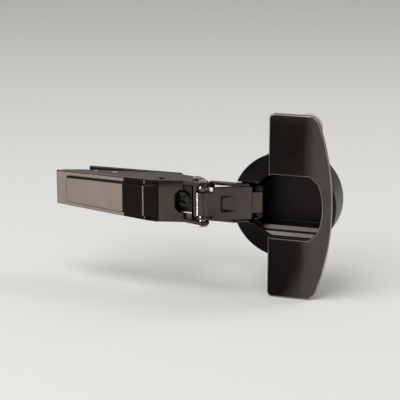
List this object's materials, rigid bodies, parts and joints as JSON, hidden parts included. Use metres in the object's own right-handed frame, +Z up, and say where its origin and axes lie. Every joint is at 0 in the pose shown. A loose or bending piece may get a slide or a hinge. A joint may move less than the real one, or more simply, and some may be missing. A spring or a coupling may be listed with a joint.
{
  "type": "concealed hinge",
  "caption": "Concealed cabinet door hinge with a cup and wing cap, a two-lever linkage, an adjustable arm with cover cap and a screwed mounting plate.",
  "frame": {"origin": "on the cabinet side's face, midway between the two plate screws", "axes": "+X along the cabinet side towards the door, +Y into the cabinet side, +Z up"},
  "size_m": [0.1023, 0.0263, 0.065],
  "materials": {
    "steel": "black nickel plated, satin",
    "arm_cap": "black nickel plated, mirror bright",
    "cup_cap": "black nickel plated, mirror bright",
    "cup": "black nickel plated, dull",
    "plate": "dark plated die casting",
    "pin": "polished dark steel",
    "screw": "blackened",
    "spring": "drawn wire",
    "dowel": "moulded nylon"
  },
  "bodies": {
    "base": {"mounting_plate": "plate", "plate_screw_rear": "screw", "plate_screw_front": "screw"},
    "carriage": {"carrier": "plate", "tilt_pin": "pin"},
    "depth_adjuster": {"depth_cam": "screw"},
    "overlay_adjuster": {"overlay_screw": "screw"},
    "arm": {"hinge_arm": "steel", "arm_cover_cap": "arm_cap", "near_arm_pin": "pin", "far_arm_pin": "pin", "release_pin": "pin", "closing_spring_upper": "spring", "closing_spring_lower": "spring", "release_spring": "spring"},
    "release": {"release_lever": "steel"},
    "near_link": {"near_lever": "steel"},
    "far_link": {"far_lever": "steel"},
    "cup": {"hinge_cup": "cup", "cup_cover_cap": "cup_cap", "near_cup_pin": "pin", "far_cup_pin_upper": "pin", "far_cup_pin_lower": "pin", "dowel_upper": "dowel", "dowel_lower": "dowel", "cup_screw_upper": "screw", "cup_screw_lower": "screw"}
  },
  "joints": [
    {"name": "depth_slide", "type": "slide", "parent": "base", "child": "carriage", "axis": [1, 0, 0], "range_m": [-0.0015, 0.0015]},
    {"name": "depth_cam_turn", "type": "hinge", "parent": "carriage", "child": "depth_adjuster", "pos_m": [0.0033, 0, 0], "axis": [0, 1, 0], "range_deg": [-47.5, 47.5]},
    {"name": "overlay_tilt", "type": "hinge", "parent": "carriage", "child": "arm", "pos_m": [-0.0029, -0.0061, 0], "axis": [0, 0, 1], "range_deg": [-2.5, 2.5]},
    {"name": "overlay_screw_turn", "type": "hinge", "parent": "carriage", "child": "overlay_adjuster", "pos_m": [0.0226, 0, 0], "axis": [0, 1, 0], "range_deg": [-101, 101]},
    {"name": "release_press", "type": "hinge", "parent": "arm", "child": "release", "pos_m": [-0.0105, -0.0049, 0], "axis": [0, 0, 1], "range_deg": [0, 4], "stiffness_Nm_per_rad": 0.02, "springref_deg": -2.86},
    {"name": "near_lever_swing", "type": "hinge", "parent": "arm", "child": "near_link", "pos_m": [0.0312, -0.0112, 0], "axis": [0, 0, 1], "range_deg": [-3.3, 58.4]},
    {"name": "cup_turn", "type": "hinge", "parent": "near_link", "child": "cup", "pos_m": [0.049, -0.0026, 0], "axis": [0, 0, 1], "range_deg": [-148.33, 8.24]},
    {"name": "far_lever_swing", "type": "hinge", "parent": "arm", "child": "far_link", "pos_m": [0.028, -0.0077, 0], "axis": [0, 0, 1], "range_deg": [-2.9, 50.7]}
  ],
  "couplings": [
    {"joint": "depth_cam_turn", "follows": "depth_slide", "rad_per_m": -550},
    {"joint": "overlay_screw_turn", "follows": "overlay_tilt", "ratio": 40},
    {"joint": "near_lever_swing", "follows": "cup_turn", "ratio": -0.39319},
    {"joint": "far_lever_swing", "follows": "cup_turn", "ratio": -0.34129}
  ]
}
